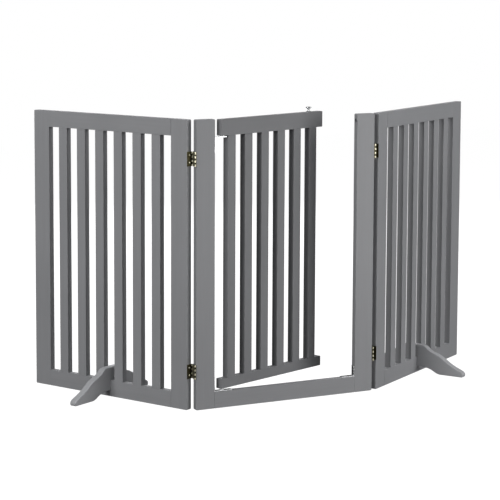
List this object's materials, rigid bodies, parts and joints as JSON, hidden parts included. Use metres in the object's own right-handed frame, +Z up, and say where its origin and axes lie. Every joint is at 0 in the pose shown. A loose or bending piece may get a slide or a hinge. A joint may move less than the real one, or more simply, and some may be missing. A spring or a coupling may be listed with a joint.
{
  "type": "pet gate",
  "caption": "Free-standing folding gate of slatted wooden panels, with a walk-through door, a sliding bolt and slip-on support feet.",
  "frame": {"origin": "middle of the underside of the centre frame's bottom rail", "axes": "+X along the centre frame towards the latch stile, +Y to the back, where the side panels are folded, +Z up"},
  "size_m": [1.333, 0.5141, 0.8133],
  "materials": {
    "grey_paint": "satin mid-grey paint over smooth wood",
    "aged_brass": "aged brass, dark in the recesses and bright where it rubs",
    "dark_steel": "dark zinc-plated steel strip",
    "chrome": "polished chrome"
  },
  "bodies": {
    "centre_frame": {"centre_left_stile": "grey_paint", "centre_right_stile": "grey_paint", "centre_bottom_rail": "grey_paint", "door_lower_pivot_bracket": "dark_steel", "door_upper_pivot_bracket": "dark_steel", "centre_right_brace": "dark_steel", "left_upper_hinge_frame_leaf": "aged_brass", "left_lower_hinge_frame_leaf": "aged_brass", "right_upper_hinge_frame_leaf": "aged_brass", "right_lower_hinge_frame_leaf": "aged_brass"},
    "left_link": {"left_upper_hinge_link": "aged_brass", "left_lower_hinge_link": "aged_brass"},
    "right_link": {"right_upper_hinge_link": "aged_brass", "right_lower_hinge_link": "aged_brass"},
    "left_panel": {"left_panel_inner_stile": "grey_paint", "left_panel_outer_stile": "grey_paint", "left_panel_top_rail": "grey_paint", "left_panel_bottom_rail": "grey_paint", "left_panel_slat_1": "grey_paint", "left_panel_slat_2": "grey_paint", "left_panel_slat_3": "grey_paint", "left_panel_slat_4": "grey_paint", "left_panel_slat_5": "grey_paint", "left_panel_slat_6": "grey_paint", "left_upper_hinge_panel_leaf": "aged_brass", "left_lower_hinge_panel_leaf": "aged_brass"},
    "right_panel": {"right_panel_inner_stile": "grey_paint", "right_panel_outer_stile": "grey_paint", "right_panel_top_rail": "grey_paint", "right_panel_bottom_rail": "grey_paint", "right_panel_slat_1": "grey_paint", "right_panel_slat_2": "grey_paint", "right_panel_slat_3": "grey_paint", "right_panel_slat_4": "grey_paint", "right_panel_slat_5": "grey_paint", "right_panel_slat_6": "grey_paint", "right_upper_hinge_panel_leaf": "aged_brass", "right_lower_hinge_panel_leaf": "aged_brass"},
    "door": {"door_top_rail": "grey_paint", "door_bottom_rail": "grey_paint", "door_slat_1": "grey_paint", "door_slat_2": "grey_paint", "door_slat_3": "grey_paint", "door_slat_4": "grey_paint", "door_slat_5": "grey_paint", "door_slat_6": "grey_paint"},
    "latch": {"latch_bolt": "chrome", "latch_knob": "chrome"},
    "left_foot": {"left_foot": "grey_paint"},
    "right_foot": {"right_foot": "grey_paint"}
  },
  "joints": [
    {"name": "left_front_fold", "type": "hinge", "parent": "centre_frame", "child": "left_link", "pos_m": [-0.281, -0.0095, 0.4], "axis": [0, 0, 1], "range_deg": [0, 110]},
    {"name": "left_back_fold", "type": "hinge", "parent": "left_link", "child": "left_panel", "pos_m": [-0.281, 0.0095, 0.4], "axis": [0, 0, 1], "range_deg": [-48.2, 61.8]},
    {"name": "right_front_fold", "type": "hinge", "parent": "centre_frame", "child": "right_link", "pos_m": [0.281, -0.0095, 0.4], "axis": [0, 0, 1], "range_deg": [-110, 0]},
    {"name": "right_back_fold", "type": "hinge", "parent": "right_link", "child": "right_panel", "pos_m": [0.281, 0.0095, 0.4], "axis": [0, 0, 1], "range_deg": [-32.3, 77.7]},
    {"name": "door_swing", "type": "hinge", "parent": "centre_frame", "child": "door", "pos_m": [-0.1958, 0, 0.4], "axis": [0, 0, 1], "range_deg": [-110.7, 69.3]},
    {"name": "latch_slide", "type": "slide", "parent": "door", "child": "latch", "axis": [0.9354, 0.3535, 0], "range_m": [0, 0.028]},
    {"name": "left_foot_lift", "type": "slide", "parent": "left_panel", "child": "left_foot", "axis": [0, 0, 1], "range_m": [0, 0.05]},
    {"name": "right_foot_lift", "type": "slide", "parent": "right_panel", "child": "right_foot", "axis": [0, 0, 1], "range_m": [0, 0.05]}
  ]
}
